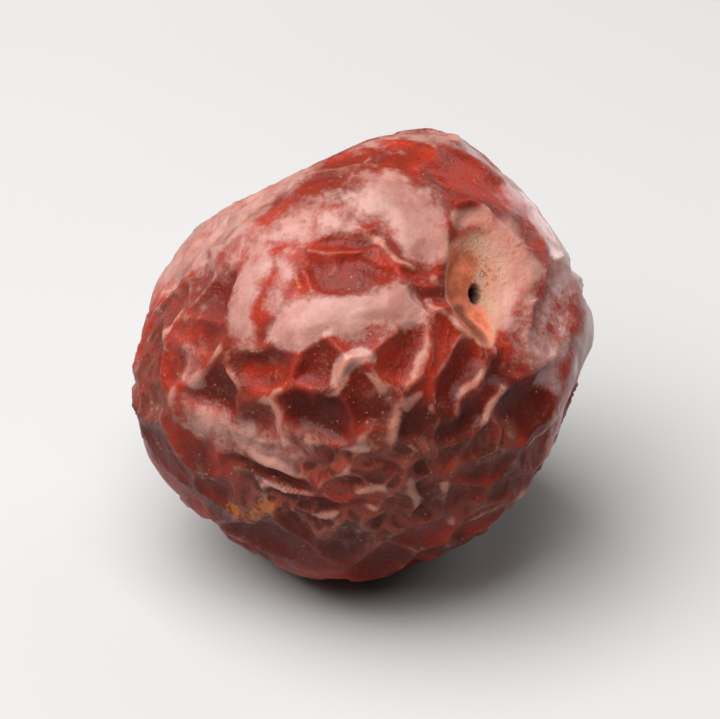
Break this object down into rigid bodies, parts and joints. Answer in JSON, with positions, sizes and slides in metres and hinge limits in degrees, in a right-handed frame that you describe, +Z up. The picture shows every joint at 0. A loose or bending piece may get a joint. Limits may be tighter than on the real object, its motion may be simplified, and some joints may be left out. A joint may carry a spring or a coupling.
{
  "type": "dried jujube",
  "caption": "Dried jujube fruit, nearly round, with a net of sharp wrinkles, a stem-end funnel with a pin hole and a small flat spot to rest on.",
  "frame": {"origin": "bottom centre of the bounding box, on the flat spot that the fruit rests on", "axes": "+Z up from the surface it rests on; the stem end faces up, to +X and to -Y; the picture looks along +Y and down"},
  "size_m": [0.0254, 0.0252, 0.0252],
  "materials": {
    "skin": "waxy satin, deep red, paler on crests and folds"
  },
  "bodies": {
    "root": {"fruit": "skin"}
  },
  "joints": []
}
